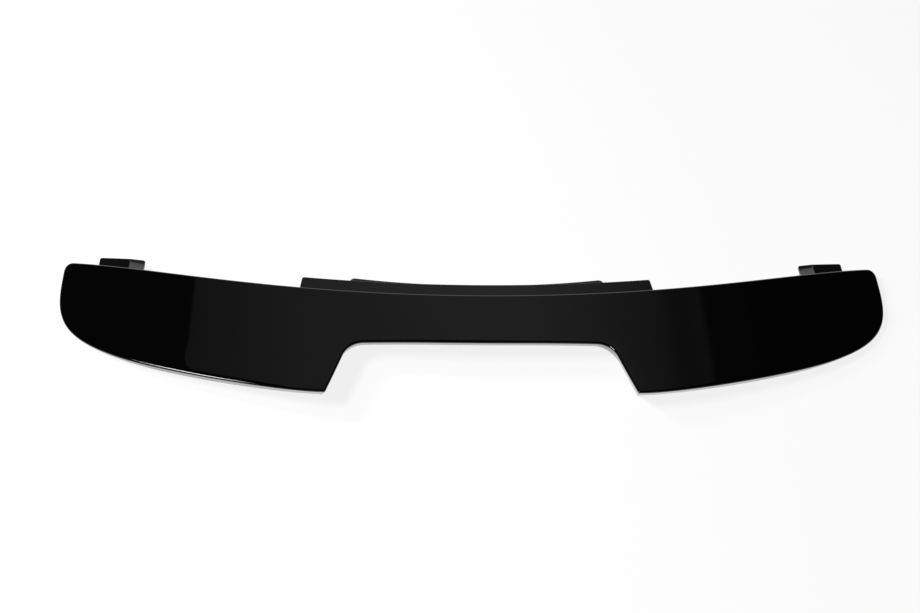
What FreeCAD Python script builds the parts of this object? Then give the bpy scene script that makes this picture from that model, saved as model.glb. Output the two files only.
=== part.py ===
import FreeCAD, Part
import math
import os

from FreeCAD import Vector

# Hatchback tailgate spoiler, lying as it rests on a flat table.
# Millimetres. X runs across the car, +Y points forward, +Z up. The table is Z = 0.
# Plan sizes are first measured from the line through the two front corners, then the whole
# part is moved so that the origin is below the middle of its outer box.

# Outline of the top face, seen from above
OVERALL_WIDTH = 1100.0
SWEEP = 82.5                # the middle of the leading edge lies this far behind its corners
LEAD_FLAT = 256.0           # length of the flat pull in the middle of the leading edge
LEAD_END_RUN = 112.0        # pull of the leading edge at its ends, sideways
LEAD_END_RISE = 19.0        # and forwards
CORNER_INSET = 12.0         # front corner: where its rounding starts on the leading edge
CORNER_DROP = 16.0          # and where it ends on the tip
CORNER_PULL = 0.6           # share of the way to the sharp corner that its pulls reach
TIP_PULL = 66.0             # how far the tip runs straight back before the lobe turns in
LOBE_INSET = 94.0           # where the lobe passes into the trailing edge, in from the tip
LOBE_DROP = 172.0           # and behind the front corners
LOBE_ANGLE = 25.5           # direction of the edge there, degrees from the X axis
LOBE_PULL = 106.0
TRAIL_PULL = 70.0
TRAIL_DROP = 241.5          # the mouth corners of the notch lie this far behind the front corners
TRAIL_END_RUN = 50.0        # pull of the trailing edge at the mouth corner, sideways
TRAIL_END_RISE = 0.5        # and forwards

# Notch in the trailing edge
NOTCH_MOUTH = 388.0
NOTCH_TOP = 334.0           # between the two sharp inner corners, before they are rounded
NOTCH_DEPTH = 78.0
NOTCH_RADIUS = 25.5
NOTCH_BOW = 1.7             # the top of the notch bows back this much in the middle
MOUTH_RADIUS = 1.2          # the two mouth corners, inside the rounded edge

# Top face and underside
CROWN = 35.0                # the tips lie this far below the middle
TIP_DEPTH = 12.0            # height of the tips
TOP_SLOPE = 0.02            # the top face falls this much for each millimetre to the rear
KICK_RUN = 60.0             # the last stretch before the trailing edge turns up
KICK_RISE = 1.2
LANDING = 38.0              # width of the flat strip that stands on the table, from the trailing edge
EDGE_RADIUS = 2.0

# Lean of the side walls under the edge, degrees from upright
FRONT_LEAN = 6.0
TIP_LEAN = 12.0
LOBE_LEAN = 28.0
NOTCH_LEAN = 34.5
NOTCH_SIDE_LEAN = 21.0

# Shells and the glued joint between them
SKIN = 3.0
FLOOR = 2.4
JOINT_DEPTH = 5.0           # the upper shell's edge is turned down this far
JOINT_GAP = 0.6
RIB = 1.6                   # locating rib of the upper shell, inside the lower shell's wall
RIB_REACH = 5.0             # how far the rib reaches below the joint
GLUE = 0.2

# Tongue and tabs at the front
TONGUE_WIDTH = 468.0
TONGUE_REACH = 21.5         # in front of the leading edge, in the middle
TONGUE_END_REACH = 22.0     # and at its ends
TONGUE_END_SLANT = 3.0
TAB_WIDTH = 62.0
TAB_INSET = 75.5            # middle of the tab, in from the tip
TAB_REACH = 24.5            # in front of the leading edge, at the inner end of the tab
TAB_OUTER_REACH = 19.5      # and at its outer end
TAB_LEVEL_RUN = 20.0        # the inner stretch of the tab is level, the rest follows the arch
FRONT_CORNER_RADIUS = 3.0

# Seal under the front of the tongue
SEAL_WIDTH = 336.0
SEAL_THICKNESS = 2.5
SEAL_DEPTH = 10.0
SEAL_PROUD = 0.5            # stands out in front of the tongue, in the middle
SEAL_END_PROUD = 6.5        # and at its ends
SEAL_CORNER_RADIUS = 6.0

# Screw bosses, inserts and gaskets
INNER_SPACING = 220.0
INNER_Y = -113.0
OUTER_INSET = 150.0         # outer screws, in from the tips
OUTER_Y = -98.0
PAD_RADIUS = 15.0
PAD_PROUD = 0.3             # the flat pad stands out at least this much from the underside
BOSS_RADIUS = 9.0
BOSS_HEIGHT = 15.0
INSERT_RADIUS = 4.0
INSERT_LENGTH = 12.0
INSERT_FIT = 0.05
THREAD_RADIUS = 2.5         # M6, tapped
GASKET_OUTER = 13.0
GASKET_INNER = 7.0
GASKET_THICKNESS = 2.5

# Worked out from the sizes above
HALF = OVERALL_WIDTH / 2
TOP_HEIGHT = TIP_DEPTH + CROWN
JOINT_LEVEL = JOINT_DEPTH + JOINT_GAP           # the lower shell starts this far below the top face
LIP_DEPTH = JOINT_LEVEL + FLOOR                 # depth of the leading edge in the middle
FRONT_ARCH = TOP_HEIGHT - TOP_SLOPE * SWEEP - LIP_DEPTH
TAB_CENTRE = HALF - TAB_INSET
OUTER_SPACING = OVERALL_WIDTH - 2 * OUTER_INSET
LEAD_END = (HALF - CORNER_INSET, 0.0)
LOBE_JOINT = (HALF - LOBE_INSET, -LOBE_DROP)
LOBE_WAY = (math.cos(math.radians(LOBE_ANGLE)), math.sin(math.radians(LOBE_ANGLE)))
MOUTH = (NOTCH_MOUTH / 2, -TRAIL_DROP)
NOTCH_SIDE = math.hypot((NOTCH_MOUTH - NOTCH_TOP) / 2, NOTCH_DEPTH)
NOTCH_WAY = ((NOTCH_TOP - NOTCH_MOUTH) / 2 / NOTCH_SIDE, NOTCH_DEPTH / NOTCH_SIDE)
TRAIL_BOW = (TRAIL_DROP - LOBE_DROP) / (LOBE_JOINT[0] ** 2 - MOUTH[0] ** 2)
BEYOND = 60.0               # cutting bodies reach this far past what they cut
FAR = 200.0                 # farther than anything stands above or below the table
HIGH = TOP_HEIGHT + KICK_RISE + 12.0
LOW = -6.0
Y_LOW = -TRAIL_DROP - BEYOND
Y_HIGH = TAB_REACH + BEYOND
EDGE_STEPS = 5              # narrow strips that make up the rounded edge
SEW = 0.02                  # faces of one solid meet within this
UP = Vector(0, 0, 1)


def trail_line(x):
    """Y of an even bow through the mouth corners of the notch and the lobes."""
    return -TRAIL_DROP + TRAIL_BOW * (x * x - MOUTH[0] ** 2)


def top_height(x, y):
    """Height of the top face: a crown across the car, a fall to the rear and a kick at the trailing edge."""
    kick = max(0.0, trail_line(x) + KICK_RUN - y) / KICK_RUN
    return TOP_HEIGHT - CROWN * (x / HALF) ** 2 + TOP_SLOPE * y + KICK_RISE * kick ** 3


def front_height(x, y):
    """Height of the underside at the leading edge: an arch that comes down to the table at the tips."""
    return FRONT_ARCH * (1 - (x / HALF) ** 2)


def under_height(x, y):
    """Height of the underside: straight from the front arch down to the landing strip at the rear."""
    lead = -SWEEP * (1 - (x / LEAD_END[0]) ** 2)
    landing = trail_line(x) + LANDING
    return front_height(x, y) * (y - landing) / (lead - landing)


def height_face(height):
    """A smooth face over the whole plan, at the height that the given function has."""
    columns, rows = 33, 25
    grid = []
    for i in range(columns):
        x = (HALF + BEYOND) * (2 * i / (columns - 1) - 1)
        ys = [Y_LOW + (Y_HIGH - Y_LOW) * j / (rows - 1) for j in range(rows)]
        grid.append([Vector(x, y, height(x, y)) for y in ys])
    surface = Part.BSplineSurface()
    surface.interpolate(grid)
    return surface.toShape()


def bezier(poles, t):
    """Point and direction of a cubic Bezier curve."""
    s = 1 - t
    point = [s ** 3 * a + 3 * s * s * t * b + 3 * s * t * t * c + t ** 3 * d for a, b, c, d in zip(*poles)]
    way = [s * s * (b - a) + 2 * s * t * (c - b) + t * t * (d - c) for a, b, c, d in zip(*poles)]
    return point, way


def towards(start, end, share):
    return [a + share * (b - a) for a, b in zip(start, end)]


def straight(start, end):
    return [start, towards(start, end, 1 / 3), towards(start, end, 2 / 3), end]


def heading(poles):
    """Unit direction in which a curve arrives at its end."""
    length = math.dist(poles[2], poles[3])
    return [(b - a) / length for a, b in zip(poles[2], poles[3])]


def turn_between(way, next_way):
    return math.acos(way[0] * next_way[0] + way[1] * next_way[1])


def rounding(start, start_way, end, end_way, radius):
    """Poles of an arc from one straight run to the next, both given as unit directions of travel."""
    pull = 4 / 3 * math.tan(turn_between(start_way, end_way) / 4) * radius
    leave = [s + pull * w for s, w in zip(start, start_way)]
    arrive = [e - pull * w for e, w in zip(end, end_way)]
    return [start, leave, arrive, end]


def cut_back(poles, distance):
    """Poles of the same curve, ended a little before its end."""
    a, b, c, d = poles
    t = 1 - distance / (3 * math.dist(c, d))
    ab, bc, cd = towards(a, b, t), towards(b, c, t), towards(c, d, t)
    abc, bcd = towards(ab, bc, t), towards(bc, cd, t)
    return [a, ab, abc, towards(abc, bcd, t)]


def front_and_tip():
    """Right half of the outline from the middle of the leading edge round the tip to the lobe.

    Each stretch has its Bezier poles, its number of steps, and the wall's lean at its start and end."""
    handle = (LEAD_END[0] - LEAD_END_RUN, -LEAD_END_RISE)
    vertex = (HALF, LEAD_END_RISE / LEAD_END_RUN * CORNER_INSET)
    tip = (HALF, -CORNER_DROP)
    corner = [LEAD_END, towards(LEAD_END, vertex, CORNER_PULL), towards(tip, vertex, CORNER_PULL), tip]
    lobe_in = [j + LOBE_PULL * w for j, w in zip(LOBE_JOINT, LOBE_WAY)]
    return [
        ([(0, -SWEEP), (LEAD_FLAT, -SWEEP), handle, LEAD_END], 12, FRONT_LEAN, FRONT_LEAN),
        (corner, 6, FRONT_LEAN, TIP_LEAN),
        ([tip, (HALF, -CORNER_DROP - TIP_PULL), lobe_in, LOBE_JOINT], 12, TIP_LEAN, LOBE_LEAN),
    ]


def trailing_edge():
    """Poles of the trailing edge from the lobe to the sharp mouth corner of the notch."""
    lobe_out = [j - TRAIL_PULL * w for j, w in zip(LOBE_JOINT, LOBE_WAY)]
    mouth_in = (MOUTH[0] + TRAIL_END_RUN, MOUTH[1] + TRAIL_END_RISE)
    return [LOBE_JOINT, lobe_out, mouth_in, MOUTH]


def bridge():
    """Poles of the line that carries the trailing edge on across the mouth of the notch to the middle."""
    past = MOUTH[0] / 3
    fall = past * TRAIL_END_RISE / TRAIL_END_RUN
    end = MOUTH[1] - 1.5 * fall
    return [MOUTH, (MOUTH[0] - past, MOUTH[1] - fall), (past, end), (0, end)]


def notch_edge(start):
    """Stretches of the notch from a point on its side line to the middle of its top."""
    corner = (NOTCH_TOP / 2, MOUTH[1] + NOTCH_DEPTH)
    way = NOTCH_WAY
    tangent = NOTCH_RADIUS * math.tan(turn_between(way, (-1, 0)) / 2)
    bend = [c - tangent * w for c, w in zip(corner, way)]
    flat = [corner[0] - tangent, corner[1]]
    bowed = flat[1] - NOTCH_BOW
    return [
        (straight(start, bend), 4, NOTCH_SIDE_LEAN, NOTCH_SIDE_LEAN),
        (rounding(bend, way, flat, (-1, 0), NOTCH_RADIUS), 8, NOTCH_SIDE_LEAN, NOTCH_LEAN),
        ([flat, (flat[0] * 2 / 3, flat[1]), (flat[0] / 3, bowed), (0, bowed)], 6, NOTCH_LEAN, NOTCH_LEAN),
    ]


def wing_outline():
    """Right half of the outline with the trailing edge carried across the notch."""
    return front_and_tip() + [
        (trailing_edge(), 10, LOBE_LEAN, NOTCH_LEAN),
        (bridge(), 4, NOTCH_LEAN, NOTCH_LEAN),
    ]


def notch_outline():
    """Right half of the notch, from well behind its mouth to the middle of its top."""
    behind = [m - BEYOND * w for m, w in zip(MOUTH, NOTCH_WAY)]
    return notch_edge(behind)


def edge_setback(lean):
    """How far inside the sharp edge the rounded edge starts on the top face."""
    return EDGE_RADIUS * (1 + math.sin(lean)) / math.cos(lean)


def face_outline():
    """Right half of the outline of the finished top face, with the notch and its rounded mouth corners."""
    trail = trailing_edge()
    lean = math.radians(NOTCH_LEAN)
    radius = MOUTH_RADIUS + max(edge_setback(lean), JOINT_DEPTH * math.tan(lean))
    tangent = radius * math.tan(turn_between(heading(trail), NOTCH_WAY) / 2)
    trail = cut_back(trail, tangent)
    side_start = [m + tangent * w for m, w in zip(MOUTH, NOTCH_WAY)]
    corner = rounding(trail[3], heading(trail), side_start, NOTCH_WAY, radius)
    return front_and_tip() + [
        (trail, 10, LOBE_LEAN, NOTCH_LEAN),
        (corner, 6, NOTCH_LEAN, NOTCH_SIDE_LEAN),
    ] + notch_edge(side_start)


def stations(stretch):
    """Points along a stretch: place, outward direction in plan and lean of the wall in radians."""
    poles, steps, lean_start, lean_end = stretch
    found = []
    for k in range(steps + 1):
        t = k / steps
        (x, y), (dx, dy) = bezier(poles, t)
        length = math.hypot(dx, dy)
        ease = t * t * (3 - 2 * t)
        lean = math.radians(lean_start + (lean_end - lean_start) * ease)
        found.append((x, y, -dy / length, dx / length, lean))
    return found


def edges_along(stretches, place):
    """Smooth edges along both halves of an outline. place puts each station where the edge runs."""
    right = []
    left = []
    for stretch in stretches:
        points = [place(*station) for station in stations(stretch)]
        other = [Vector(-p.x, p.y, p.z) for p in reversed(points)]
        right.append(points)
        left.insert(0, other)
    edges = []
    for points in right + left:
        curve = Part.BSplineCurve()
        share = [k / (len(points) - 1) for k in range(len(points))]
        curve.interpolate(Points=points, Parameters=share)
        edges.append(curve.toShape())
    return edges


def wall_ring(stretches, z, inset):
    """Edges of the wall at one height: each point slides along the lean of the wall below the edge."""
    def place(x, y, nx, ny, lean):
        out = math.tan(lean) * (z - top_height(x, y)) - inset
        return Vector(x + nx * out, y + ny * out, z)
    return edges_along(stretches, place)


def tube(inset):
    """Everything inside the walls of the full wing, with no notch, drawn in by the inset."""
    wires = [Part.Wire(wall_ring(wing_outline(), z, inset)) for z in (LOW, HIGH)]
    return Part.makeLoft(wires, True, True)


def notch(grow):
    """Everything inside the walls of the notch, grown into the wing."""
    wires = []
    for z in (LOW, HIGH):
        edges = wall_ring(notch_outline(), z, grow)
        start = edges[0].valueAt(edges[0].FirstParameter)
        end = edges[-1].valueAt(edges[-1].LastParameter)
        wires.append(Part.Wire(edges + [Part.makeLine(end, start)]))
    return Part.makeLoft(wires, True, True)


def wing(inset):
    return tube(inset).cut(notch(inset))


def rim_ring(profile):
    """Ring round the finished top face. profile gives how far out it lies and how deep, from the lean."""
    def place(x, y, nx, ny, lean):
        out, depth = profile(lean)
        px, py = x + nx * out, y + ny * out
        return Vector(px, py, top_height(px, py) - depth)
    return edges_along(face_outline(), place)


def rounded_edge(share):
    """Profile of the rounded edge: share 0 is on the top face, share 1 on the wall."""
    def profile(lean):
        angle = math.pi / 2 - share * (lean + math.pi / 2)
        return EDGE_RADIUS * math.cos(angle) - edge_setback(lean), EDGE_RADIUS * (1 - math.sin(angle))
    return profile


def turned_down(lean):
    """Profile of the lower rim of the upper shell, on the wall at the depth of the joint."""
    return -JOINT_DEPTH * math.tan(lean), JOINT_DEPTH


def upper_block(top_face):
    """Solid upper shell: top face, rounded edge, short wall and a lower face at the depth of the joint."""
    rings = [rim_ring(rounded_edge(k / EDGE_STEPS)) for k in range(EDGE_STEPS + 1)]
    rings.append(rim_ring(turned_down))
    faces = []
    for level, edges in ((0, rings[0]), (JOINT_DEPTH, rings[-1])):
        surface = top_face.Surface.copy()
        surface.translate(-level * UP)
        cap = Part.Face(surface, Part.Wire(edges))
        cap.validate()
        faces.append(cap)
    for ring, next_ring in zip(rings, rings[1:]):
        faces += [Part.makeRuledSurface(edge, next_edge) for edge, next_edge in zip(ring, next_ring)]
    shell = Part.Shell(faces)
    shell.sewShape(SEW)
    return Part.Solid(shell)


def below(face, level):
    """Everything under a face that has been lowered by the level."""
    return face.translated(-level * UP).extrude(-FAR * UP)


def above(face, level):
    """Everything over a face that has been raised by the level."""
    return face.translated(level * UP).extrude(FAR * UP)


def upper_shell(top_face, under_face):
    """Painted skin with a turned-down edge, and a rib that locates it inside the lower shell."""
    rib = wing(SKIN + GLUE).common(below(top_face, SKIN / 2))
    rib = rib.common(above(top_face, -JOINT_DEPTH - RIB_REACH))
    rib = rib.common(above(under_face, FLOOR + GLUE))
    hollow = wing(SKIN + GLUE + RIB).common(below(top_face, SKIN))
    return upper_block(top_face).fuse(rib).cut(hollow)


def joint_prism():
    """Upright body round the joint line. It takes off the sharp mouth corners of the lower shell."""
    def place(x, y, nx, ny, lean):
        out = GLUE - JOINT_LEVEL * math.tan(lean)
        return Vector(x + nx * out, y + ny * out, LOW)
    return Part.Face(Part.Wire(edges_along(face_outline(), place))).extrude((HIGH - LOW) * UP)


def lead_y(x):
    """Y of the leading edge at a place across the car, found by halving."""
    poles = front_and_tip()[0][0]
    low, high = 0.0, 1.0
    for _ in range(40):
        middle = (low + high) / 2
        if bezier(poles, middle)[0][0] < abs(x):
            low = middle
        else:
            high = middle
    return bezier(poles, low)[0][1]


def upright(points, arc_middle=None):
    """Upright body with a plan of straight sides. The side from the second to the third point may be an arc."""
    corners = [Vector(x, y, 0) for x, y in points]
    edges = [Part.makeLine(a, b) for a, b in zip(corners, corners[1:] + corners[:1])]
    if arc_middle:
        edges[1] = Part.Arc(corners[1], Vector(*arc_middle, 0), corners[2]).toShape()
    return Part.Face(Part.Wire(edges)).extrude(HIGH * UP)


def rounded_front(body, radius):
    """Rounds the two upright edges at the front of an upright body."""
    edges = [e for e in body.Edges if e.BoundBox.ZLength > HIGH / 2]
    edges.sort(key=lambda e: e.CenterOfMass.y)
    return body.makeFillet(radius, edges[-2:])


def tongue_front(x):
    """Y of the front of the tongue, as an even bow."""
    end_x = TONGUE_WIDTH / 2 - TONGUE_END_SLANT
    end_y = lead_y(end_x) + TONGUE_END_REACH
    middle_y = TONGUE_REACH - SWEEP
    return middle_y + (end_y - middle_y) * (x / end_x) ** 2


def tongue(arch_face):
    """Centre tongue: a sheet that follows the front arch, in front of the leading edge."""
    half = TONGUE_WIDTH / 2
    end = half - TONGUE_END_SLANT
    back = -SWEEP - BEYOND / 2
    plan = [(-half, back), (-end, tongue_front(end)), (end, tongue_front(end)), (half, back)]
    body = rounded_front(upright(plan, (0, tongue_front(0))), FRONT_CORNER_RADIUS)
    return body.common(above(arch_face, 0)).common(below(arch_face, -FLOOR))


def tab(side, arch_face):
    """End tab: its outer stretch follows the front arch and its inner stretch is level."""
    inner = TAB_CENTRE - TAB_WIDTH / 2
    outer = TAB_CENTRE + TAB_WIDTH / 2
    bend = inner + TAB_LEVEL_RUN
    back = -BEYOND
    inner_front = lead_y(inner) + TAB_REACH
    outer_front = lead_y(outer) + TAB_OUTER_REACH
    plan = [(inner, back), (inner, inner_front), (outer, outer_front), (outer, back)]
    body = rounded_front(upright([(side * x, y) for x, y in plan]), FRONT_CORNER_RADIUS)
    outer_start = bend if side > 0 else -outer
    outer_box = Part.makeBox(outer - bend, 2 * FAR, FAR, Vector(outer_start, -FAR, 0))
    bent = body.common(outer_box).common(above(arch_face, 0)).common(below(arch_face, -FLOOR))
    inner_start = inner if side > 0 else -bend
    inner_box = Part.makeBox(TAB_LEVEL_RUN, 2 * FAR, FLOOR, Vector(inner_start, -FAR, front_height(bend, 0)))
    return bent.fuse(body.common(inner_box))


def pad_height(x, y):
    """Height of the flat pad under a screw boss, just below the lowest place under its rim."""
    corners = [(x + i * PAD_RADIUS, y + j * PAD_RADIUS) for i in (-1, 1) for j in (-1, 1)]
    return min(under_height(*corner) for corner in corners) - PAD_PROUD


def round_bar(radius, height, x, y, z):
    return Part.makeCylinder(radius, height, Vector(x, y, z))


def lower_shell(top_face, under_face, arch_face):
    """Closing shell: undercut wall, floor, tongue, tabs, and a boss over each screw place."""
    between = above(under_face, 0).common(below(top_face, JOINT_LEVEL))
    table = Part.makeBox(4 * HALF, 4 * FAR, FAR, Vector(-2 * HALF, -2 * FAR, 0))
    core = wing(SKIN)
    shell = wing(0).common(between).common(table).common(joint_prism())
    shell = shell.cut(core.common(above(under_face, FLOOR)).common(table.translated(FLOOR * UP)))
    front = [tongue(arch_face), tab(-1, arch_face), tab(1, arch_face)]
    shell = shell.fuse([piece.cut(core) for piece in front])
    for x, y in SCREWS.values():
        z = pad_height(x, y)
        pad = round_bar(PAD_RADIUS, FAR, x, y, z).common(below(under_face, -FLOOR))
        boss = round_bar(BOSS_RADIUS, BOSS_HEIGHT, x, y, z)
        shell = shell.fuse([pad, boss])
    for x, y in SCREWS.values():
        bore = round_bar(INSERT_RADIUS + INSERT_FIT, INSERT_LENGTH + INSERT_FIT, x, y, pad_height(x, y))
        shell = shell.cut(bore)
    return shell


def insert(x, y):
    """Brass insert with a tapped hole through it, flush with the pad."""
    z = pad_height(x, y)
    body = round_bar(INSERT_RADIUS, INSERT_LENGTH, x, y, z)
    return body.cut(round_bar(THREAD_RADIUS, INSERT_LENGTH, x, y, z))


def gasket(x, y):
    """Foam ring under the pad."""
    z = pad_height(x, y) - GASKET_THICKNESS
    body = round_bar(GASKET_OUTER, GASKET_THICKNESS, x, y, z)
    return body.cut(round_bar(GASKET_INNER, GASKET_THICKNESS, x, y, z))


def tongue_seal(arch_face):
    """Rubber strip under the front of the tongue, proud of it at both ends."""
    half = SEAL_WIDTH / 2
    end = tongue_front(half) + SEAL_END_PROUD
    middle = tongue_front(0) + SEAL_PROUD
    back = middle - SEAL_DEPTH - BEYOND
    plan = [(-half, back), (-half, end), (half, end), (half, back)]
    full = rounded_front(upright(plan, (0, middle)), SEAL_CORNER_RADIUS)
    strip = full.cut(full.translated(Vector(0, -SEAL_DEPTH, 0)))
    return strip.common(below(arch_face, 0)).common(above(arch_face, -SEAL_THICKNESS))


def single(shape):
    """The one solid of a result."""
    assert len(shape.Solids) == 1
    return shape.Solids[0]


SCREWS = {
    "left_outer": (-OUTER_SPACING / 2, OUTER_Y),
    "left_inner": (-INNER_SPACING / 2, INNER_Y),
    "right_inner": (INNER_SPACING / 2, INNER_Y),
    "right_outer": (OUTER_SPACING / 2, OUTER_Y),
}
top = height_face(top_height)
under = height_face(under_height)
arch = height_face(front_height)

nodes = {
    "upper_shell": upper_shell(top, under),
    "lower_shell": lower_shell(top, under, arch),
    "tongue_seal": tongue_seal(arch),
}
for place, (x, y) in SCREWS.items():
    nodes[place + "_insert"] = insert(x, y)
    nodes[place + "_gasket"] = gasket(x, y)

# The origin goes below the middle of the outer box
front = lead_y(TAB_CENTRE + TAB_WIDTH / 2) + TAB_OUTER_REACH
rear = -TRAIL_DROP + edge_setback(math.radians(NOTCH_LEAN)) - EDGE_RADIUS
to_origin = Vector(0, -(front + rear) / 2, 0)

os.makedirs("parts", exist_ok=True)
for name, shape in nodes.items():
    single(shape).translated(to_origin).exportStep("parts/" + name + ".step")
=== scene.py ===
import bpy
import math
import numpy as np
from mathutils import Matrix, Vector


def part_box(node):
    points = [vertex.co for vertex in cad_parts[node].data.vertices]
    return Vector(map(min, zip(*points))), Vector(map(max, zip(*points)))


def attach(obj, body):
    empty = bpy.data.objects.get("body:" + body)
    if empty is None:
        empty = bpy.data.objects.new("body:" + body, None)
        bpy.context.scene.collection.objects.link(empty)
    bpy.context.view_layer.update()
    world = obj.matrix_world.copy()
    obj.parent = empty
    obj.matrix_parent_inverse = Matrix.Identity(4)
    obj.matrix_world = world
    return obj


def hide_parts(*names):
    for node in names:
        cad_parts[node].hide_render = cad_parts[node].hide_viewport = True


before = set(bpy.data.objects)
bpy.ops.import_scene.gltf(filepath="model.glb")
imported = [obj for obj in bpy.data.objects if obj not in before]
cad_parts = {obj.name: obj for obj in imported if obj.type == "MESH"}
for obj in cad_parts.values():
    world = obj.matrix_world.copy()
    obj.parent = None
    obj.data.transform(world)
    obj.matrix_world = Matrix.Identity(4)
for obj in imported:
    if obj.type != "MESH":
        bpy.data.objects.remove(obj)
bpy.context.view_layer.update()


# Lower shell: the closing half of the spoiler, an injection moulding of satin black ABS.
# Its wall leans in below the edge, its floor arches up towards the roof, and a tongue and two tabs
# stand out in front. It is glued to the upper shell along a thin joint line.

# Sizes are millimetres, and places are measured from the line through the two front corners.
MM_PER_METRE = 1000.0
OVERALL_WIDTH = 1100.0
SWEEP = 82.5
LEAD_FLAT = 256.0
LEAD_PULL = np.array((112.0, 19.0))
CORNER_INSET = 12.0
CORNER_DROP = 16.0
CORNER_PULL = 0.6
TIP_PULL = 66.0
LOBE_DROP = 172.0
LOBE_INSET = 94.0
LOBE_ANGLE = math.radians(25.5)
LOBE_PULL = 106.0
TRAIL_PULL = 70.0
TRAIL_END = np.array((50.0, 0.5))
TRAIL_DROP = 241.5
NOTCH_MOUTH = 388.0
NOTCH_TOP = 334.0
NOTCH_DEPTH = 78.0
NOTCH_RADIUS = 25.5
NOTCH_BOW = 1.7
CROWN = 35.0
TIP_DEPTH = 12.0
TOP_SLOPE = 0.02
KICK_RUN = 60.0
KICK_RISE = 1.2
LANDING = 38.0
LANDING_BEND = 0.6
EDGE_RADIUS = 2.0
MOUTH_RADIUS = 1.2
JOINT_DEPTH = 5.0
JOINT_GAP = 0.6
FLOOR_SHEET = 2.4
FRONT_LEAN = math.radians(6.0)
TIP_LEAN = math.radians(12.0)
LOBE_LEAN = math.radians(28.0)
NOTCH_LEAN = math.radians(34.5)
NOTCH_SIDE_LEAN = math.radians(21.0)
HALF = OVERALL_WIDTH / 2
TOP_HEIGHT = TIP_DEPTH + CROWN
JOINT_LEVEL = JOINT_DEPTH + JOINT_GAP
FRONT_ARCH = TOP_HEIGHT - TOP_SLOPE * SWEEP - JOINT_LEVEL - FLOOR_SHEET
LEAD_END = np.array((HALF - CORNER_INSET, 0.0))
LOBE_JOINT = np.array((HALF - LOBE_INSET, -LOBE_DROP))
MOUTH = np.array((NOTCH_MOUTH / 2, -TRAIL_DROP))
TRAIL_BOW = (TRAIL_DROP - LOBE_DROP) / (LOBE_JOINT[0] ** 2 - MOUTH[0] ** 2)
INNER_SCREW_Y = -113.0
insert_low, insert_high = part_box("left_inner_insert")
insert_y = (insert_low.y + insert_high.y) / 2 * MM_PER_METRE
FRONT_LINE = np.array((0.0, insert_y - INNER_SCREW_Y, 0.0))


def trail_line(x):
    """An even bow across the car through the mouth corners of the notch and the lobes."""
    return -TRAIL_DROP + TRAIL_BOW * (x * x - MOUTH[0] ** 2)


def top_height(x, y):
    """Crown: falls with the square of the distance from the middle. Added to it are an even fall to
    the rear and a kick that rises with the cube of the way into the last stretch."""
    kick = np.maximum(0.0, trail_line(x) + KICK_RUN - y) / KICK_RUN
    return TOP_HEIGHT - CROWN * (x / HALF) ** 2 + TOP_SLOPE * y + KICK_RISE * kick ** 3


def front_height(x):
    """Arch under the leading edge: falls with the square of the distance from the middle to the table."""
    return FRONT_ARCH * (1 - (x / HALF) ** 2)


def under_height(x, y):
    """Underside: straight from the front arch to the landing strip, and flat on the table behind it.
    The bend between the two is a narrow hyperbola."""
    lead = -SWEEP * (1 - (x / LEAD_END[0]) ** 2)
    landing = trail_line(x) + LANDING
    slope = front_height(x) * (y - landing) / (lead - landing)
    return (slope + np.sqrt(slope ** 2 + LANDING_BEND ** 2)) / 2


def bezier(poles, t):
    """Cubic Bezier curve: the four poles weighted with the Bernstein polynomials, and its direction."""
    a, b, c, d = (np.asarray(p, float) for p in poles)
    t = t[:, None]
    s = 1 - t
    point = s ** 3 * a + 3 * s * s * t * b + 3 * s * t * t * c + t ** 3 * d
    way = s * s * (b - a) + 2 * s * t * (c - b) + t * t * (d - c)
    return point, way / np.linalg.norm(way, axis=1, keepdims=True)


def stretch(poles, lean_start, lean_end, t, draw=0.0):
    """Stations along one curve of the rim, one row each: place, outward direction in plan, lean of
    the wall, and the outward direction deep down, where draw slides the station along the curve as
    well. The lean eases from its start to its end value with a smooth step."""
    point, way = bezier(poles, t)
    normal = np.column_stack((-way[:, 1], way[:, 0]))
    ease = t * t * (3 - 2 * t)
    lean = lean_start + (lean_end - lean_start) * ease
    return np.column_stack((point, normal, lean, normal + np.reshape(draw, (-1, 1)) * way))


def shares(count):
    """That many even shares of a curve, from its start up to the last one before its end."""
    return np.linspace(0, 1, count, endpoint=False)


def arc_poles(start, start_way, end, end_way, radius):
    """Bezier poles of a round corner: each pull is 4/3 of the tangent of a quarter of the turn."""
    pull = 4 / 3 * math.tan(math.acos(start_way @ end_way) / 4) * radius
    return start, start + pull * start_way, end - pull * end_way, end


# Leading edge and front corner
lead_poles = ((0, -SWEEP), (LEAD_FLAT, -SWEEP), LEAD_END - LEAD_PULL, LEAD_END)
corner_point = LEAD_END + LEAD_PULL / LEAD_PULL[0] * CORNER_INSET
tip_start = np.array((HALF, -CORNER_DROP))
corner_poles = (
    LEAD_END,
    LEAD_END + CORNER_PULL * (corner_point - LEAD_END),
    tip_start + CORNER_PULL * (corner_point - tip_start),
    tip_start,
)

# Tip, lobe and trailing edge
lobe_way = np.array((math.cos(LOBE_ANGLE), math.sin(LOBE_ANGLE)))
lobe_poles = (tip_start, tip_start - (0, TIP_PULL), LOBE_JOINT + LOBE_PULL * lobe_way, LOBE_JOINT)
trail_poles = (LOBE_JOINT, LOBE_JOINT - TRAIL_PULL * lobe_way, MOUTH + TRAIL_END, MOUTH)

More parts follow.
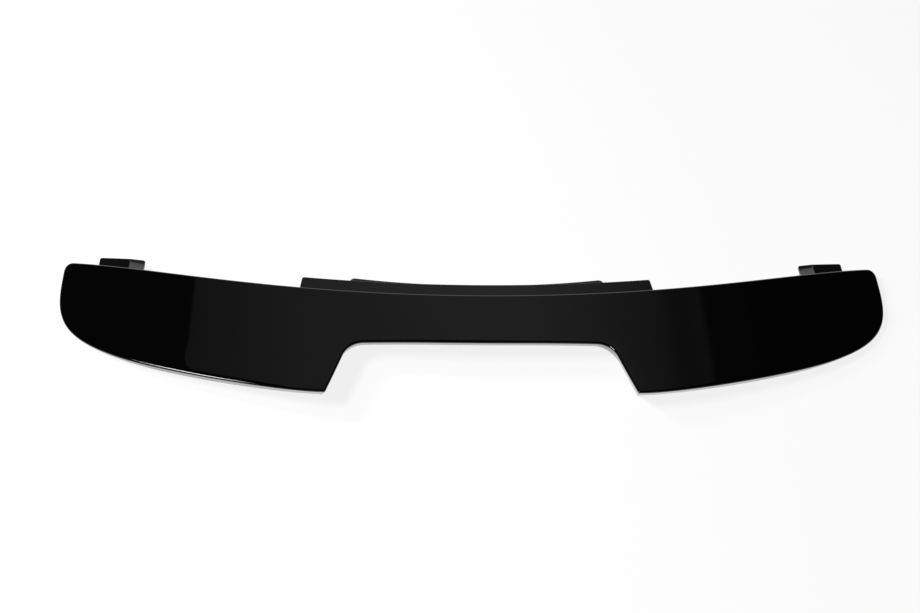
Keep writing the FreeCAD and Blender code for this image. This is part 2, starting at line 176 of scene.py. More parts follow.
# Notch: rounded mouth corner, straight side, round inner corner and a top that bows back a little
side_way = np.array(((NOTCH_TOP - NOTCH_MOUTH) / 2, NOTCH_DEPTH))
side_way /= np.linalg.norm(side_way)
setback = EDGE_RADIUS * (1 + math.sin(NOTCH_LEAN)) / math.cos(NOTCH_LEAN)
mouth_radius = MOUTH_RADIUS + max(setback, JOINT_DEPTH * math.tan(NOTCH_LEAN))
trail_way = bezier(trail_poles, np.array([1.0]))[1][0]
mouth_tangent = mouth_radius * math.tan(math.acos(trail_way @ side_way) / 2)
trail_share = 1 - mouth_tangent / (3 * np.linalg.norm(TRAIL_END))
trail_end, trail_end_way = (v[0] for v in bezier(trail_poles, np.array([trail_share])))
side_start = MOUTH + mouth_tangent * side_way
mouth_poles = arc_poles(trail_end, trail_end_way, side_start, side_way, mouth_radius)
inward = np.array((-1.0, 0.0))
inner_corner = np.array((NOTCH_TOP / 2, MOUTH[1] + NOTCH_DEPTH))
inner_tangent = NOTCH_RADIUS * math.tan(math.acos(side_way @ inward) / 2)
bend_start = inner_corner - inner_tangent * side_way
bend_end = inner_corner + inner_tangent * inward
bend_poles = arc_poles(bend_start, side_way, bend_end, inward, NOTCH_RADIUS)
side_third = (bend_start - side_start) / 3
side_poles = (side_start, side_start + side_third, bend_start - side_third, bend_start)
bowed = bend_end[1] - NOTCH_BOW
top_poles = (bend_end, (bend_end[0] * 2 / 3, bend_end[1]), (bend_end[0] / 3, bowed), (0, bowed))

# Stations on each curve of the rear side, and samples of the front side and tip to pick stations from
LOBE_STEPS = 23
TRAIL_STEPS = 59
MOUTH_STEPS = 8
SIDE_STEPS = 19
BEND_STEPS = 19
TOP_STEPS = 39
LEAD_SAMPLES = 3999
CORNER_SAMPLES = 399
TIP_SAMPLES = 1999

# Lower down the walls lean in by more than the radius of the mouth corner. Below the joint the corner
# keeps its small rounding and moves along the mitre of its two walls, and the stations beside it are
# drawn along, on the trailing edge from DRAW_START on.
FOLD_MARGIN = 0.05
FOLD_DEPTH = JOINT_LEVEL + FOLD_MARGIN
DRAW_START = 0.6
trail_fall = math.tan(NOTCH_LEAN)
side_fall = math.tan(NOTCH_SIDE_LEAN)
mouth_cos = trail_way @ side_way
mouth_sin = math.sqrt(1 - mouth_cos ** 2)
trail_pull = (side_fall - trail_fall * mouth_cos) / (mouth_sin * trail_fall)
side_pull = (trail_fall - side_fall * mouth_cos) / (mouth_sin * side_fall)
trail_draw = trail_pull * np.clip((shares(TRAIL_STEPS) - DRAW_START) / (1 - DRAW_START), 0, 1) ** 2
side_draw = -side_pull * (1 - shares(SIDE_STEPS)) ** 2

# Stations of the rim: the rear side from the middle of the notch out to the lobe, the tip from there
# forward, and the front side matched to the rear so that the lines between them run fore and aft
LOBE_SPLIT = 0.55
CORNER_SPLIT = 0.5
ROWS = 56
FAN_START = 430.0
mouth = stretch(mouth_poles, NOTCH_LEAN, NOTCH_SIDE_LEAN, shares(MOUTH_STEPS))
mitre = mouth[0, 2:4] + trail_pull * trail_end_way
mouth[:, 5:] = mitre * trail_fall / np.tan(mouth[:, 4:5])
rear = np.vstack((
    stretch(lobe_poles, TIP_LEAN, LOBE_LEAN, LOBE_SPLIT + (1 - LOBE_SPLIT) * shares(LOBE_STEPS)),
    stretch(trail_poles, LOBE_LEAN, NOTCH_LEAN, trail_share * shares(TRAIL_STEPS), trail_draw),
    mouth,
    stretch(side_poles, NOTCH_SIDE_LEAN, NOTCH_SIDE_LEAN, shares(SIDE_STEPS), side_draw),
    stretch(bend_poles, NOTCH_SIDE_LEAN, NOTCH_LEAN, shares(BEND_STEPS)),
    stretch(top_poles, NOTCH_LEAN, NOTCH_LEAN, np.linspace(0, 1, TOP_STEPS + 1)),
))[::-1]
front_corner_t = CORNER_SPLIT * np.linspace(0, 1, CORNER_SAMPLES + 1)
front_dense = np.vstack((
    stretch(lead_poles, FRONT_LEAN, FRONT_LEAN, shares(LEAD_SAMPLES)),
    stretch(corner_poles, FRONT_LEAN, TIP_LEAN, front_corner_t),
))
rear_stops = (0.0, FAN_START, rear[-1, 0])
front_stops = (0.0, FAN_START, front_dense[-1, 0])
matched = np.interp(rear[:, 0], rear_stops, front_stops)
front = np.column_stack([np.interp(matched, front_dense[:, 0], column) for column in front_dense.T])
tip_corner_t = CORNER_SPLIT + (1 - CORNER_SPLIT) * shares(CORNER_SAMPLES)
tip_dense = np.vstack((
    stretch(corner_poles, FRONT_LEAN, TIP_LEAN, tip_corner_t),
    stretch(lobe_poles, TIP_LEAN, LOBE_LEAN, LOBE_SPLIT * np.linspace(0, 1, TIP_SAMPLES + 1)),
))[::-1]
share = 0.5 - 0.5 * np.cos(np.pi * np.linspace(0, 1, ROWS + 1))
tip_steps = np.linalg.norm(np.diff(tip_dense[:, :2], axis=0), axis=1)
travelled = np.concatenate(([0.0], np.cumsum(tip_steps)))
tip = np.column_stack([np.interp(share * travelled[-1], travelled, column) for column in tip_dense.T])
half_rim = np.vstack((front, tip[-2:0:-1], rear[::-1]))
left_rim = half_rim[-2:0:-1] * (-1, 1, -1, 1, 1, -1, 1)
rim = np.vstack((half_rim, left_rim))
rim_lean = rim[:, 4]
N_SIDE = len(rear)


def moved_out(place):
    """The rim stations moved out by place, or in where it is less than nothing: square to the rim down
    to the fold, and in the deep direction beyond it."""
    place = np.broadcast_to(place, len(rim))[:, None]
    fold = FOLD_DEPTH * np.tan(rim_lean)[:, None]
    return rim[:, :2] + rim[:, 2:4] * np.maximum(place, -fold) + rim[:, 5:] * np.minimum(0, place + fold)


def ring(place, depth):
    """One closed loop round the spoiler, that far out and that far below the top face."""
    plan = moved_out(place)
    return np.column_stack((plan, top_height(*plan.T) - depth))


def cap(loop, height):
    """Grid that fills a loop: straight lines from the rear side to the front side, with the bow of the
    tip added to them in the last stretch, growing with the square of the way. height gives its z."""
    front_side = loop[:N_SIDE, :2]
    tip_side = loop[N_SIDE - 1:N_SIDE + ROWS, :2][::-1]
    rear_side = loop[N_SIDE + ROWS - 1:2 * N_SIDE + ROWS - 1, :2][::-1]
    v = share[None, :, None]
    chord = (1 - v) * rear_side[-1] + v * front_side[-1]
    fan = np.clip((rear_side[:, 0] - FAN_START) / (rear_side[-1, 0] - FAN_START), 0, 1) ** 2
    bow = fan[:, None, None] * (tip_side[None] - chord)
    right = (1 - v) * rear_side[:, None] + v * front_side[:, None] + bow
    left = right[:0:-1] * (-1, 1)
    plan = np.concatenate((left, right))
    return np.dstack((plan, height(plan[..., 0], plan[..., 1])))


def edge_of(index):
    """The border of a grid of indices, in the order of a ring: front, right tip, rear, left tip."""
    middle = len(index) // 2
    return np.concatenate((
        index[middle:, -1], index[-1, -2:0:-1], index[:0:-1, 0], index[0, :-1], index[:middle, -1],
    ))


def grid_faces(index, flip):
    """Quads between neighbouring rows and columns of a grid of indices."""
    corners = (index[:-1, :-1], index[1:, :-1], index[1:, 1:], index[:-1, 1:])
    quads = np.stack(corners, -1).reshape(-1, 4)
    return quads[:, ::-1] if flip else quads


def closed_block(top, rings, bottom):
    """Points and quads of a body with a grid on top, loops down its side, and a grid below."""
    columns, rows = top.shape[:2]
    count = columns * rows
    top_index = np.arange(count).reshape(columns, rows)
    bottom_index = top_index + count
    loops = [edge_of(top_index)]
    loops += [2 * count + k * len(rim) + np.arange(len(rim)) for k in range(len(rings))]
    loops.append(edge_of(bottom_index))
    faces = [grid_faces(top_index, False), grid_faces(bottom_index, True)]
    for upper, lower in zip(loops, loops[1:]):
        faces.append(np.stack((upper, np.roll(upper, -1), np.roll(lower, -1), lower), -1))
    points = np.vstack([top.reshape(-1, 3), bottom.reshape(-1, 3)] + list(rings))
    return points, faces


def make_piece(name, bodies, sharp_degrees):
    """A mesh of closed bodies, each given by its points in millimetres from the front line and by
    arrays of faces, at its place in metres."""
    points = []
    faces = []
    start = 0
    for body_points, face_arrays in bodies:
        points.append(body_points)
        for face_array in face_arrays:
            faces += (face_array + start).tolist()
        start += len(body_points)
    mesh = bpy.data.meshes.new(name)
    mesh.from_pydata((np.vstack(points) + FRONT_LINE) / MM_PER_METRE, [], faces)
    mesh.polygons.foreach_set("use_smooth", np.ones(len(mesh.polygons), bool))
    mesh.set_sharp_from_angle(angle=math.radians(sharp_degrees))
    mesh.update()
    piece = bpy.data.objects.new(name, mesh)
    bpy.context.scene.collection.objects.link(piece)
    return piece


def wall_place(z):
    """How far out the leaning wall lies at height z: the drop from the top face times the tangent of
    its lean."""
    return np.tan(rim_lean) * (z - top_height(rim[:, 0], rim[:, 1]))


# The wall runs down to the underside: its foot is where both heights agree, found by repeating
FOOT_ROUNDS = 12
FOOT_RADIUS = 1.0
FOOT_ANGLES = np.radians((30.0, 60.0))
WALL_RINGS = 6
foot_z = np.zeros(len(rim))
for _ in range(FOOT_ROUNDS):
    foot_z = under_height(*moved_out(wall_place(foot_z)).T)
joint_ring = ring(-JOINT_LEVEL * np.tan(rim_lean), JOINT_LEVEL)
wall_rings = []
for way in np.linspace(0, 1, WALL_RINGS + 1)[1:]:
    z = joint_ring[:, 2] + (foot_z + FOOT_RADIUS - joint_ring[:, 2]) * way
    wall_rings.append(np.column_stack((moved_out(wall_place(z)), z)))
foot_out = wall_place(foot_z)
for angle in FOOT_ANGLES:
    out = foot_out - FOOT_RADIUS * (1 - math.cos(angle))
    z = foot_z + FOOT_RADIUS * (1 - math.sin(angle))
    wall_rings.append(np.column_stack((moved_out(out), z)))
floor_loop = moved_out(foot_out - FOOT_RADIUS)
lower_block = closed_block(
    cap(joint_ring, lambda x, y: top_height(x, y) - JOINT_LEVEL),
    wall_rings,
    cap(floor_loop, under_height),
)

# Tongue and tabs: thin sheets with rounded fronts
TONGUE_WIDTH = 468.0
TONGUE_REACH = 21.5
TONGUE_END_REACH = 22.0
TONGUE_END_SLANT = 3.0
TAB_WIDTH = 62.0
TAB_INSET = 75.5
TAB_REACH = 24.4
TAB_OUTER_REACH = 19.4
TAB_LEVEL_RUN = 20.0
TAB_DISH = 5.0
DISH_POWER = 1.5
SHEET_CORNER = 3.0
SHEET_EDGE = 1.1
SHEET_ROOT = 2.0
SHEET_STEPS = 89
ROUND_STEPS = 8
ROOT_STEPS = 9


def lead_y(x):
    """The leading edge's place at x."""
    return np.interp(np.abs(x), front_dense[:, 0], front_dense[:, 1])


def front_sheet(start, end, slant, reach, height, dish):
    """A sheet that stands out in front: a rounded strip section carried across the car. Its front
    corners are round: near an end the front falls back by what a circle leaves of its square. Its
    upper side rises to the root with the 3/2 power of the way from the front, by dish."""
    round_in = SHEET_CORNER * (1 - np.cos(np.linspace(0, np.pi / 2, ROUND_STEPS + 1)))
    across = np.concatenate((
        start + round_in[:-1],
        np.linspace(start + SHEET_CORNER, end - SHEET_CORNER, SHEET_STEPS + 1),
        end - round_in[-2::-1],
    ))
    to_end = np.minimum(across - start, end - across)
    short = np.maximum(0, SHEET_CORNER - to_end)
    fall = SHEET_CORNER - np.sqrt(np.maximum(0, SHEET_CORNER ** 2 - short ** 2))
    turn = np.linspace(-np.pi / 2, np.pi / 2, ROUND_STEPS + 1)
    to_root = np.linspace(0, 1, ROOT_STEPS + 1)[1:]
    flat = np.zeros(len(to_root))
    middle = FLOOR_SHEET / 2
    front_z = middle + (middle - SHEET_EDGE) * np.sign(turn) + SHEET_EDGE * np.sin(turn)
    round_y = np.concatenate(([0.0], SHEET_EDGE * (np.cos(turn) - 1), flat))
    round_z = np.concatenate(([0.0], front_z, flat + FLOOR_SHEET))
    is_front = np.concatenate(([0.0], np.ones(len(turn)), 1 - to_root))
    rise = np.concatenate((np.zeros(1 + len(turn)), to_root ** DISH_POWER))
    back = lead_y(across) - SHEET_ROOT
    ahead = reach(across) - fall
    lean_in = 1 - slant * is_front[None] / max(abs(start), abs(end))
    x = across[:, None] * lean_in
    y = back[:, None] + (ahead - back)[:, None] * is_front[None] + round_y[None]
    z = height(across)[:, None] + round_z[None] + dish(across)[:, None] * rise[None]
    points = np.stack((x, y, z), -1)
    columns, rows = points.shape[:2]
    index = np.arange(columns * rows).reshape(columns, rows)
    wrapped = np.column_stack((index, index[:, 0]))
    ends = np.stack((index[0], index[-1, ::-1]))
    return points.reshape(-1, 3), [grid_faces(wrapped, False), ends]


def tongue_front(x):
    """Front of the tongue: an even bow, deepest in the middle."""
    end = TONGUE_WIDTH / 2 - TONGUE_END_SLANT
    end_y = lead_y(end) + TONGUE_END_REACH
    middle_y = TONGUE_REACH - SWEEP
    return middle_y + (end_y - middle_y) * (x / end) ** 2


tab_inner = HALF - TAB_INSET - TAB_WIDTH / 2
tab_outer = tab_inner + TAB_WIDTH
tab_bend = tab_inner + TAB_LEVEL_RUN


def tab_front(x):
    """Front of a tab: a straight line beside the leading edge, nearer to it at the outer end."""
    ends = (tab_inner, tab_outer)
    return np.interp(np.abs(x), ends, lead_y(np.array(ends)) + (TAB_REACH, TAB_OUTER_REACH))


def tab_height(x):
    """A tab is level in its inner stretch and follows the front arch in its outer one."""
    return front_height(np.maximum(np.abs(x), tab_bend))


def tab_dish(x):
    """A tab's level stretch is hollow, and its outer one is flat."""
    return np.where(np.abs(x) < tab_bend, TAB_DISH, 0.0)


tongue_end = TONGUE_WIDTH / 2
tongue = front_sheet(-tongue_end, tongue_end, TONGUE_END_SLANT, tongue_front, front_height, np.zeros_like)
right_tab = front_sheet(tab_inner, tab_outer, 0.0, tab_front, tab_height, tab_dish)
left_tab = front_sheet(-tab_outer, -tab_inner, 0.0, tab_front, tab_height, tab_dish)

# Screw pads
PAD_RADIUS = 15.0
PAD_EDGE = 0.8
PAD_EDGE_STEPS = 4
PAD_SIDES = 64
BORE_RADIUS = 4.05
BOSS_DEPTH = 13.0
SCREWS = ("left_outer", "left_inner", "right_inner", "right_outer")


def screw_pad(place):
    """Flat round pad under a screw boss, with the bore for its insert: a closed profile turned round
    the screw's axis."""
    low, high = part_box(place + "_insert")
    centre = (np.array(low) + np.array(high)) / 2 * MM_PER_METRE - FRONT_LINE
    foot = low.z * MM_PER_METRE
    round_off = np.linspace(0, np.pi / 2, PAD_EDGE_STEPS + 1)
    edge_r = PAD_RADIUS - PAD_EDGE + PAD_EDGE * np.sin(round_off)
    edge_z = foot + PAD_EDGE - PAD_EDGE * np.cos(round_off)
    radius = np.concatenate(([BORE_RADIUS, BORE_RADIUS], edge_r, [PAD_RADIUS]))
    height = np.concatenate(([foot + BOSS_DEPTH, foot], edge_z, [foot + BOSS_DEPTH]))
    turn = np.linspace(0, 2 * np.pi, PAD_SIDES, endpoint=False)
    x = centre[0] + np.cos(turn)[:, None] * radius
    y = centre[1] + np.sin(turn)[:, None] * radius
    z = np.broadcast_to(height, x.shape)
    index = np.arange(x.size).reshape(x.shape)
    looped = np.vstack((index, index[0]))
    wrapped = np.column_stack((looped, looped[:, 0]))
    return np.stack((x, y, z), -1).reshape(-1, 3), [grid_faces(wrapped, True)]


pads = [screw_pad(place) for place in SCREWS]
lower_bodies = [lower_block, tongue, left_tab, right_tab] + pads
lower_shell = make_piece("lower_shell_moulding", lower_bodies, sharp_degrees=35.0)


def linear(hex_colour):
    """sRGB hex to linear red, green, blue and alpha."""
    srgb = np.array([int(hex_colour[i:i + 2], 16) for i in (1, 3, 5)]) / 255.0
    return (*np.where(srgb <= 0.04045, srgb / 12.92, ((srgb + 0.055) / 1.055) ** 2.4), 1.0)


def add(tree, kind, settings, links):
    """Adds a node. Settings name its properties or input sockets, links say which output feeds which
    input."""
    node = tree.nodes.new(kind)
    for name, value in settings.items():
        if isinstance(name, int) or name in node.inputs:
            node.inputs[name].default_value = value
        else:
            setattr(node, name, value)
    for name, (source, output) in links.items():
        tree.links.new(source.outputs[output], node.inputs[name])
    return node


# The colour sockets of the Mix node share their names with its other sockets, so they go by number
MIX_A = 6
MIX_B = 7
MIX_RESULT = 2


def new_material(name):
    """An empty node material and its node tree."""
    material = bpy.data.materials.new(name)
    material.use_nodes = True
    tree = material.node_tree
    tree.nodes.clear()
    return material, tree


def per_metre(millimetres):
    """Noise scale for features of that size: Object coordinates are metres."""
    return MM_PER_METRE / millimetres


# Satin ABS straight from the mould: even near-black, with a fine spark-eroded grain that softens its gloss
satin_abs, tree = new_material("moulded_satin_abs")
where = add(tree, "ShaderNodeTexCoord", {}, {})
grain = add(
    tree, "ShaderNodeTexNoise",
    {"Scale": per_metre(1.6), "Detail": 3.0},
    {"Vector": (where, "Object")},
)
flow = add(
    tree, "ShaderNodeTexNoise",
    {"Scale": per_metre(60.0), "Detail": 2.0},
    {"Vector": (where, "Object")},
)
tone = add(
    tree, "ShaderNodeMix",
    {"data_type": "RGBA", MIX_A: linear("#060607"), MIX_B: linear("#0a0a0b")},
    {"Factor": (flow, "Fac")},
)
gloss = add(tree, "ShaderNodeMapRange", {"To Min": 0.10, "To Max": 0.17}, {"Value": (grain, "Fac")})
relief = add(tree, "ShaderNodeBump", {"Strength": 0.25, "Distance": 0.00006}, {"Height": (grain, "Fac")})
shader = add(
    tree, "ShaderNodeBsdfPrincipled",
    {"IOR": 1.57},
    {"Base Color": (tone, MIX_RESULT), "Roughness": (gloss, "Result"), "Normal": (relief, "Normal")},
)
add(tree, "ShaderNodeOutputMaterial", {}, {"Surface": (shader, "BSDF")})
lower_shell.data.materials.append(satin_abs)
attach(lower_shell, "root")
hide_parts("lower_shell")


# Inserts: turned brass bushes with a tapped hole, pressed into the four bosses from below.
# The tailgate's screws go into them.
turned_brass, tree = new_material("turned_brass")
where = add(tree, "ShaderNodeTexCoord", {}, {})
tool_marks = add(
    tree, "ShaderNodeTexWave",
    {"Scale": per_metre(20.0), "Distortion": 1.5, "bands_direction": "Z"},
    {"Vector": (where, "Object")},
)
tarnish = add(
    tree, "ShaderNodeTexNoise",
    {"Scale": per_metre(5.0), "Detail": 4.0},
    {"Vector": (where, "Object")},
)
tone = add(
    tree, "ShaderNodeMix",
    {"data_type": "RGBA", MIX_A: linear("#d9b56a"), MIX_B: linear("#b8924a")},
    {"Factor": (tarnish, "Fac")},
)
gloss = add(tree, "ShaderNodeMapRange", {"To Min": 0.18, "To Max": 0.34}, {"Value": (tool_marks, "Fac")})
shader = add(
    tree, "ShaderNodeBsdfPrincipled",
    {"Metallic": 1.0},
    {"Base Color": (tone, MIX_RESULT), "Roughness": (gloss, "Result")},
)
add(tree, "ShaderNodeOutputMaterial", {}, {"Surface": (shader, "BSDF")})


def refinish(name, material):
    """Gives a node of the CAD that material in place of its own."""
    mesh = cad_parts[name].data
    mesh.materials.clear()
    mesh.materials.append(material)


for place in SCREWS:
    refinish(place + "_insert", turned_brass)


# Gaskets: rings punched from closed-cell foam sheet, stuck under the four pads.
# They keep water out of the screw holes.
punched_foam, tree = new_material("punched_closed_cell_foam")
where = add(tree, "ShaderNodeTexCoord", {}, {})
cells = add(tree, "ShaderNodeTexVoronoi", {"Scale": per_metre(0.9)}, {"Vector": (where, "Object")})
tone = add(
    tree, "ShaderNodeMix",
    {"data_type": "RGBA", MIX_A: linear("#2c2c2e"), MIX_B: linear("#454547")},
    {"Factor": (cells, "Distance")},
)
relief = add(tree, "ShaderNodeBump", {"Strength": 0.6, "Distance": 0.0003}, {"Height": (cells, "Distance")})
shader = add(
    tree, "ShaderNodeBsdfPrincipled",
    {"Roughness": 0.92, "IOR": 1.45},
    {"Base Color": (tone, MIX_RESULT), "Normal": (relief, "Normal")},
)
add(tree, "ShaderNodeOutputMaterial", {}, {"Surface": (shader, "BSDF")})
for place in SCREWS:
    refinish(place + "_gasket", punched_foam)


# Tongue seal: a strip of black rubber stuck under the front of the tongue, proud of it at both ends.
# It closes the gap to the roof.
extruded_rubber, tree = new_material("extruded_rubber")
where = add(tree, "ShaderNodeTexCoord", {}, {})
bloom = add(
    tree, "ShaderNodeTexNoise",
    {"Scale": per_metre(25.0), "Detail": 4.0},
    {"Vector": (where, "Object")},
)
skin = add(
    tree, "ShaderNodeTexNoise",
    {"Scale": per_metre(1.2), "Detail": 2.0},
    {"Vector": (where, "Object")},
)
tone = add(
    tree, "ShaderNodeMix",
    {"data_type": "RGBA", MIX_A: linear("#0d0d0e"), MIX_B: linear("#161617")},
    {"Factor": (bloom, "Fac")},
)
relief = add(tree, "ShaderNodeBump", {"Strength": 0.3, "Distance": 0.0001}, {"Height": (skin, "Fac")})
shader = add(
    tree, "ShaderNodeBsdfPrincipled",
    {"Roughness": 0.5, "IOR": 1.52},
    {"Base Color": (tone, MIX_RESULT), "Normal": (relief, "Normal")},
)
add(tree, "ShaderNodeOutputMaterial", {}, {"Surface": (shader, "BSDF")})
refinish("tongue_seal", extruded_rubber)


# Upper shell: the skin that shows, moulded in ABS, painted black and clear-coated to a mirror gloss.
# Its edge is rounded and turned down all round, and ends at the joint with the lower shell.
EDGE_STEPS = 10
FRONT_EDGE_RADIUS = 4.0
BOX_MARGIN = 0.03
ROLL_RUN = 30.0
ROLL_DROP = 0.4
LOBE_ROLL_DROP = 1.6
rear_line = np.vstack((rear[:, :2], rear[1:, :2] * (-1, 1)))


def skin_height(x, y):
    """Top face with a soft roll-off: it falls by the cube of the way into a narrow strip along the rear
    edge. Its drop grows from the notch to the lobes with the square root of the way between them."""
    gap = np.stack((x, y), -1)[..., None, :] - rear_line
    from_edge = np.sqrt((gap ** 2).sum(-1).min(-1))
    to_lobe = np.clip((np.abs(x) - MOUTH[0]) / (LOBE_JOINT[0] - MOUTH[0]), 0, 1)
    drop = ROLL_DROP + (LOBE_ROLL_DROP - ROLL_DROP) * np.sqrt(to_lobe)
    return top_height(x, y) - drop * np.clip(1 - from_edge / ROLL_RUN, 0, 1) ** 3


# The edge is rounder along the front, and lies a hair inside the edge of the solid
front_share = np.clip((TIP_LEAN - rim_lean) / (TIP_LEAN - FRONT_LEAN), 0, 1)
rim_radius = EDGE_RADIUS + (FRONT_EDGE_RADIUS - EDGE_RADIUS) * front_share
rim_setback = rim_radius * (1 + np.sin(rim_lean)) / np.cos(rim_lean) + BOX_MARGIN
edge_rings = []
for k in range(EDGE_STEPS + 1):
    angle = np.pi / 2 - k / EDGE_STEPS * (rim_lean + np.pi / 2)
    plan = moved_out(rim_radius * np.cos(angle) - rim_setback)
    edge_rings.append(np.column_stack((plan, skin_height(*plan.T) - rim_radius * (1 - np.sin(angle)))))
turned_down = ring(-JOINT_DEPTH * np.tan(rim_lean), JOINT_DEPTH)
upper_block = closed_block(
    cap(edge_rings[0], skin_height),
    edge_rings[1:],
    cap(turned_down, lambda x, y: top_height(x, y) - JOINT_DEPTH),
)
upper_shell = make_piece("upper_shell_skin", [upper_block], sharp_degrees=40.0)

# Black paint under clear coat: almost no colour of its own, a mirror with a slight orange peel.
# Real orange peel is about 2 mm across, drawn here at 9 mm so that it shows at this distance.
gloss_paint, tree = new_material("gloss_black_clear_coat")
where = add(tree, "ShaderNodeTexCoord", {}, {})
orange_peel = add(
    tree, "ShaderNodeTexNoise",
    {"Scale": per_metre(9.0), "Detail": 1.0},
    {"Vector": (where, "Object")},
)
dust = add(
    tree, "ShaderNodeTexNoise",
    {"Scale": per_metre(35.0), "Detail": 5.0},
    {"Vector": (where, "Object")},
)
tone = add(
    tree, "ShaderNodeMix",
    {"data_type": "RGBA", MIX_A: linear("#010101"), MIX_B: linear("#020203")},
    {"Factor": (dust, "Fac")},
)
gloss = add(tree, "ShaderNodeMapRange", {"To Min": 0.015, "To Max": 0.045}, {"Value": (dust, "Fac")})
relief = add(
    tree, "ShaderNodeBump",
    {"Strength": 0.04, "Distance": 0.0001},
    {"Height": (orange_peel, "Fac")},
)
shader = add(
    tree, "ShaderNodeBsdfPrincipled",
    {"IOR": 1.5},
    {"Base Color": (tone, MIX_RESULT), "Roughness": (gloss, "Result"), "Normal": (relief, "Normal")},
)
add(tree, "ShaderNodeOutputMaterial", {}, {"Surface": (shader, "BSDF")})
upper_shell.data.materials.append(gloss_paint)
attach(upper_shell, "root")
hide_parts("upper_shell")


# Studio: a white table that fills the view and a white backdrop beyond it that shows in reflections.
# The table keeps a soft shadow. A dim card under the dark ceiling in front is what the gloss face
# mirrors. Two softboxes stand on the left, and the gloss shows only the upper one. Sizes are metres.
def flat_card(name, corner, along, across):
    """A rectangle: its corner plus shares of two edges, as a grid of two by two points."""
    i, j = np.meshgrid((0.0, 1.0), (0.0, 1.0), indexing="ij")
    points = np.array(corner) + i[..., None] * np.array(along) + j[..., None] * np.array(across)
    mesh = bpy.data.meshes.new(name)
    mesh.from_pydata(points.reshape(-1, 3), [], grid_faces(np.arange(4).reshape(2, 2), False).tolist())
    card = bpy.data.objects.new(name, mesh)
    bpy.context.scene.collection.objects.link(card)
    return card


def leave_to_mirrors(card):
    """The card shows in reflections alone: the camera doesn't see it, and it neither lights nor shades."""
    card.visible_camera = False
    card.visible_diffuse = False
    card.visible_shadow = False


# White laminate: mostly shown as plain white, with a little of its lit surface for the shadow,
# and clear from behind so that the part can be looked at from below
TABLE_SPAN = 24.0
TABLE_DROP = 0.0004
TABLE_GLOW = 0.86
table = flat_card(
    "white_table",
    (-TABLE_SPAN / 2, -TABLE_SPAN / 2, -TABLE_DROP),
    (TABLE_SPAN, 0.0, 0.0),
    (0.0, TABLE_SPAN, 0.0),
)
white_laminate, tree = new_material("white_laminate")
path = add(tree, "ShaderNodeLightPath", {}, {})
seen = add(
    tree, "ShaderNodeMath",
    {"operation": "MAXIMUM"},
    {0: (path, "Is Camera Ray"), 1: (path, "Is Glossy Ray")},
)
seen = add(
    tree, "ShaderNodeMath",
    {"operation": "MAXIMUM"},
    {0: (seen, 0), 1: (path, "Is Transmission Ray")},
)
amount = add(tree, "ShaderNodeMath", {"operation": "MULTIPLY", 1: TABLE_GLOW}, {0: (seen, 0)})
matt = add(tree, "ShaderNodeBsdfDiffuse", {"Color": linear("#f4f4f4")}, {})
white = add(tree, "ShaderNodeEmission", {"Color": linear("#ffffff"), "Strength": 1.0}, {})
surface = add(tree, "ShaderNodeMixShader", {}, {0: (amount, 0), 1: (matt, 0), 2: (white, 0)})
side = add(tree, "ShaderNodeNewGeometry", {}, {})
clear = add(tree, "ShaderNodeBsdfTransparent", {}, {})
shown = add(tree, "ShaderNodeMixShader", {}, {0: (side, "Backfacing"), 1: (surface, 0), 2: (clear, 0)})
add(tree, "ShaderNodeOutputMaterial", {}, {"Surface": (shown, 0)})
table.data.materials.append(white_laminate)

# Backdrop paper: plain white in reflections
BACKDROP_WIDTH = 8.0
BACKDROP_HEIGHT = 1.7
BACKDROP_Y = 3.2
backdrop = flat_card(
    "white_backdrop",
    (-BACKDROP_WIDTH / 2, BACKDROP_Y, 0.0),
    (BACKDROP_WIDTH, 0.0, 0.0),
    (0.0, 0.0, BACKDROP_HEIGHT),
)
leave_to_mirrors(backdrop)
backdrop_paper, tree = new_material("backdrop_paper")
white = add(tree, "ShaderNodeEmission", {"Color": linear("#ffffff"), "Strength": 0.9}, {})
add(tree, "ShaderNodeOutputMaterial", {}, {"Surface": (white, 0)})
backdrop.data.materials.append(backdrop_paper)

# Ceiling card: a broad dim glow, brightest a little right of the middle. Its left edge is sharp. To
# the right it falls off, has one narrow fold that is a little brighter, and ends almost dark.
CARD_LEFT = -1.23
CARD_RIGHT = 1.60
CARD_Y = 1.68
CARD_DEPTH = 2.8
CARD_HEIGHT = 2.5
CARD_LEVELS = (
    (CARD_LEFT, 0.11), (-0.68, 0.21), (0.10, 0.29), (0.45, 0.29), (0.92, 0.17),
    (1.05, 0.15), (1.20, 0.07), (1.32, 0.09), (1.37, 0.02),
)
ceiling_card = flat_card(
    "ceiling_card",
    (CARD_LEFT, CARD_Y, CARD_HEIGHT),
    (CARD_RIGHT - CARD_LEFT, 0.0, 0.0),
    (0.0, CARD_DEPTH, 0.0),
)
leave_to_mirrors(ceiling_card)
dim_card, tree = new_material("dim_card")
where = add(tree, "ShaderNodeTexCoord", {}, {})
spread = add(tree, "ShaderNodeSeparateXYZ", {}, {"Vector": (where, "Object")})
span = add(
    tree, "ShaderNodeMapRange",
    {"From Min": CARD_LEFT, "From Max": CARD_RIGHT},
    {"Value": (spread, "X")},
)
glow = add(tree, "ShaderNodeValToRGB", {}, {"Fac": (span, "Result")})
stops = glow.color_ramp.elements
while len(stops) < len(CARD_LEVELS):
    stops.new(1.0)
for stop, (x, level) in zip(stops, CARD_LEVELS):
    stop.position = (x - CARD_LEFT) / (CARD_RIGHT - CARD_LEFT)
    stop.color = (level, level, level, 1.0)
shader = add(tree, "ShaderNodeEmission", {"Strength": 1.0}, {"Color": (glow, "Color")})
add(tree, "ShaderNodeOutputMaterial", {}, {"Surface": (shader, 0)})
ceiling_card.data.materials.append(dim_card)


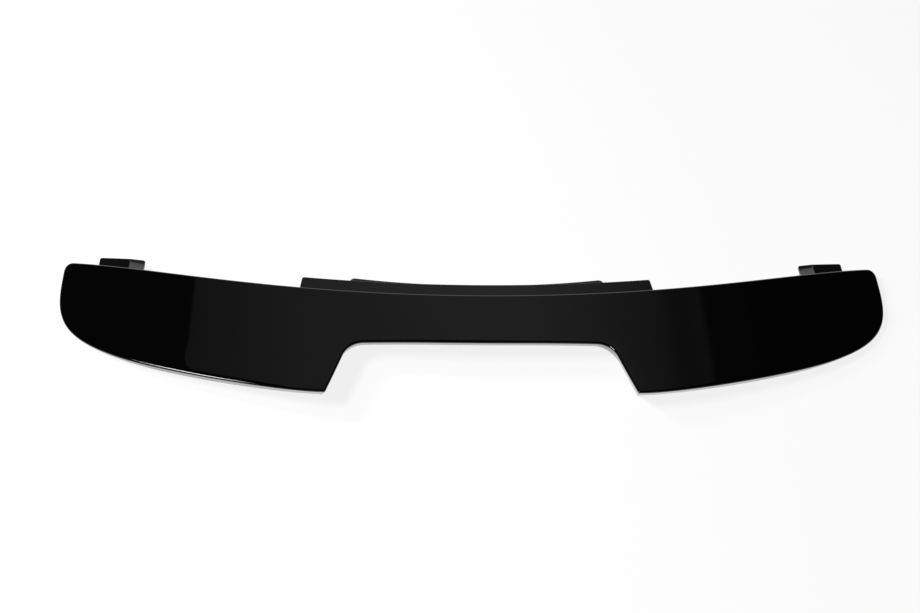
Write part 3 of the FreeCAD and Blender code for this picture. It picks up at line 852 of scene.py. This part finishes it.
def softbox(name, place, width, depth, watts, mirrored):
    """A rectangular lamp that faces the spoiler. mirrored says whether the gloss shows it."""
    lamp = bpy.data.lights.new(name, "AREA")
    lamp.shape = "RECTANGLE"
    lamp.size = width
    lamp.size_y = depth
    lamp.energy = watts
    box = bpy.data.objects.new(name, lamp)
    bpy.context.scene.collection.objects.link(box)
    box.location = place
    box.rotation_euler = (-Vector(place)).to_track_quat("-Z", "Y").to_euler()
    box.visible_camera = False
    box.visible_glossy = mirrored


softbox("overhead_softbox", (-1.8, -0.65, 2.4), width=1.0, depth=0.5, watts=90.0, mirrored=True)
softbox("left_softbox", (-2.34, 0.85, 1.7), width=0.35, depth=0.8, watts=58.0, mirrored=False)

# The room beyond is almost dark, and plain white only where the camera looks past the table
world = bpy.data.worlds.new("dark_studio")
bpy.context.scene.world = world
world.use_nodes = True
tree = world.node_tree
tree.nodes.clear()
path = add(tree, "ShaderNodeLightPath", {}, {})
walls = add(tree, "ShaderNodeBackground", {"Color": linear("#ffffff"), "Strength": 0.015}, {})
sweep = add(tree, "ShaderNodeBackground", {"Color": linear("#ffffff"), "Strength": 1.0}, {})
seen = add(tree, "ShaderNodeMixShader", {}, {0: (path, "Is Camera Ray"), 1: (walls, 0), 2: (sweep, 0)})
add(tree, "ShaderNodeOutputWorld", {}, {"Surface": (seen, 0)})
bpy.context.scene.view_settings.view_transform = "Standard"


# Camera: behind and above the spoiler, a little to its left, turned slightly on its axis.
# Its angles and distance are fitted to the outline in the photograph.
PHOTO_WIDTH = 920
FOCAL_PIXELS = 1500.0
SENSOR_WIDTH = 36.0
ELEVATION = math.radians(47.94)
AZIMUTH = math.radians(4.11)
ROLL = math.radians(-3.45)
CAMERA_DISTANCE = 1936.8
CAMERA_TARGET = np.array((-24.8, -106.3, TOP_HEIGHT))
level_back = np.array((-math.sin(AZIMUTH), -math.cos(AZIMUTH), 0.0))
back = math.cos(ELEVATION) * level_back + (0.0, 0.0, math.sin(ELEVATION))
right = np.array((math.cos(AZIMUTH), -math.sin(AZIMUTH), 0.0))
up = np.cross(back, right)
turned_right = math.cos(ROLL) * right - math.sin(ROLL) * up
turned_up = math.sin(ROLL) * right + math.cos(ROLL) * up
eye = (CAMERA_TARGET + FRONT_LINE + CAMERA_DISTANCE * back) / MM_PER_METRE
camera_data = bpy.data.cameras.new("camera")
camera_data.sensor_width = SENSOR_WIDTH
camera_data.lens = FOCAL_PIXELS / PHOTO_WIDTH * SENSOR_WIDTH
camera = bpy.data.objects.new("camera", camera_data)
bpy.context.scene.collection.objects.link(camera)
placing = np.eye(4)
placing[:3, :3] = np.column_stack((turned_right, turned_up, back))
placing[:3, 3] = eye
camera.matrix_world = Matrix(placing.tolist())
bpy.context.scene.camera = camera
